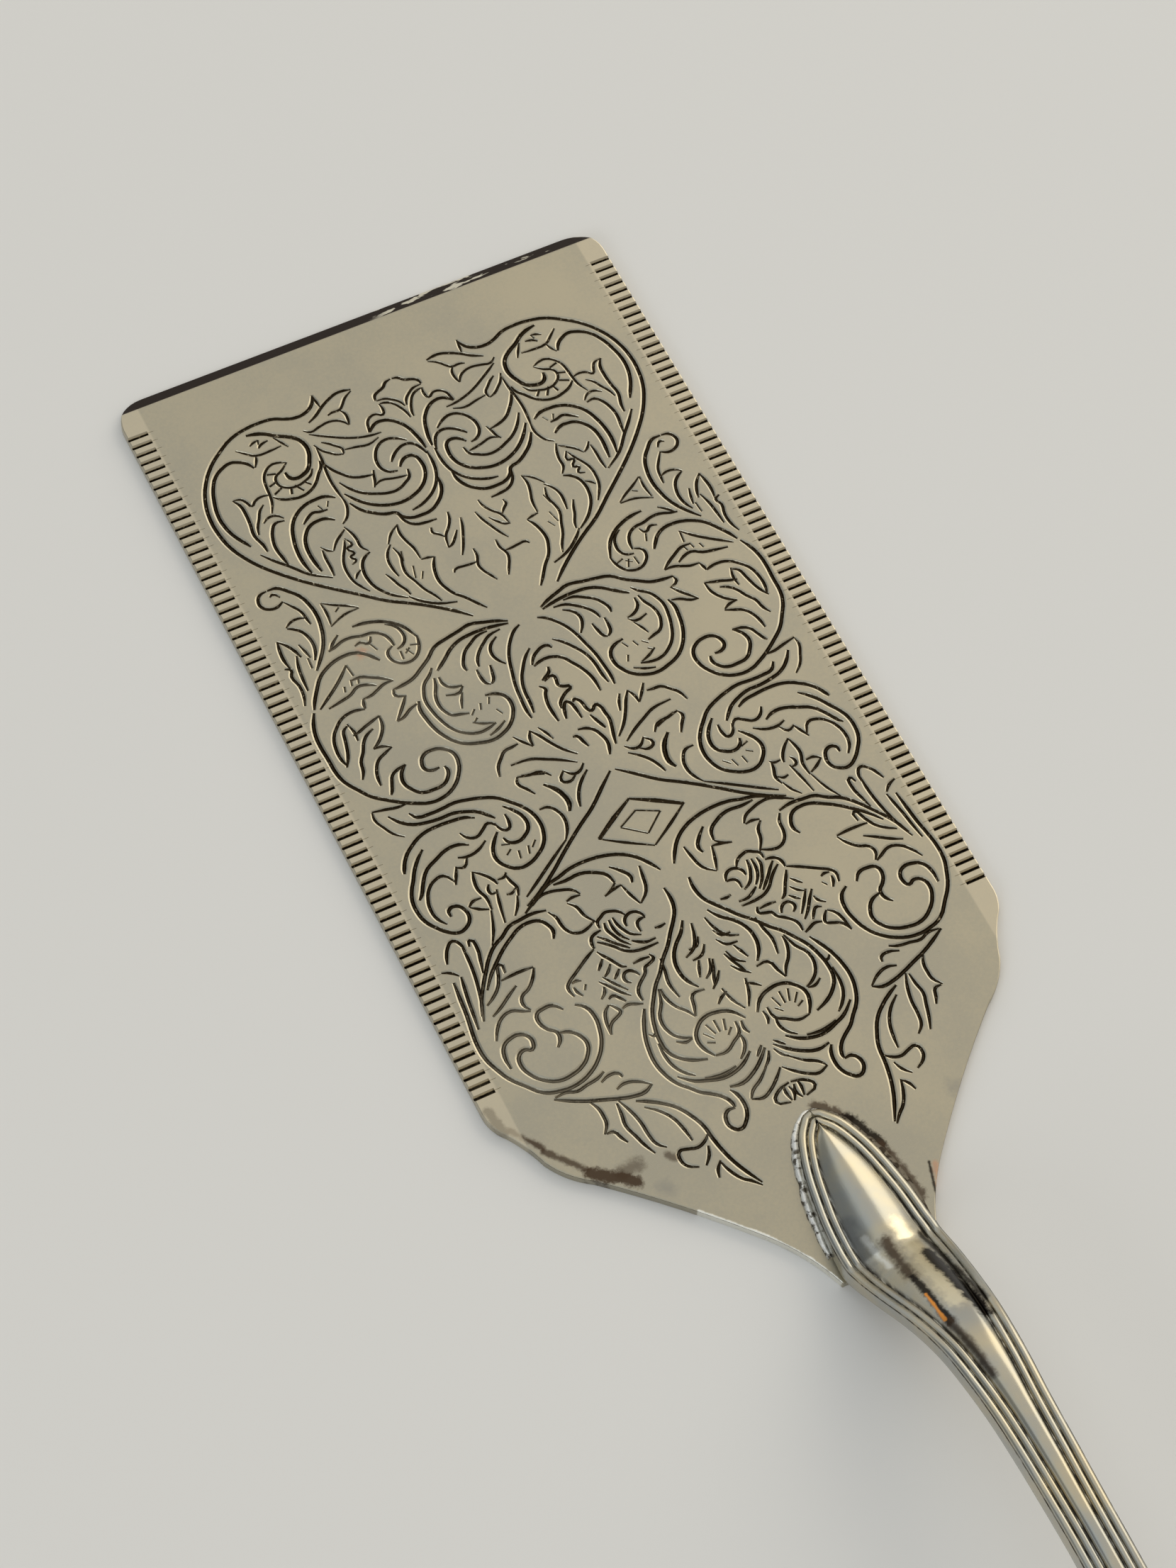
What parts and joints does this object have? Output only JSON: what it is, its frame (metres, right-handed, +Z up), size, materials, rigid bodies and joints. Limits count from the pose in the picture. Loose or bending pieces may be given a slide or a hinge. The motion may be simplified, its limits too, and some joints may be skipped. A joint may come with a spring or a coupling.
{
  "type": "pie server",
  "caption": "Silver-plated pie server: flat blade with fluted sides and engraved scrollwork, and a cranked thread-edged handle soldered to its tail.",
  "frame": {"origin": "on the flat underside of the blade, at the middle of its fluted sides", "axes": "+Y towards the front edge of the blade, away from the handle; +X towards the right side of the blade; +Z up, through the engraved face"},
  "size_m": [0.0612, 0.2559, 0.0167],
  "materials": {
    "blade_plate": "worn silver plate, softly polished, dark in the engraved lines",
    "handle_plate": "polished silver plate with light wear",
    "solder": "dull grey solder, uneven"
  },
  "bodies": {
    "root": {"blade": "blade_plate", "handle": "handle_plate", "solder_seam": "solder"}
  },
  "joints": []
}
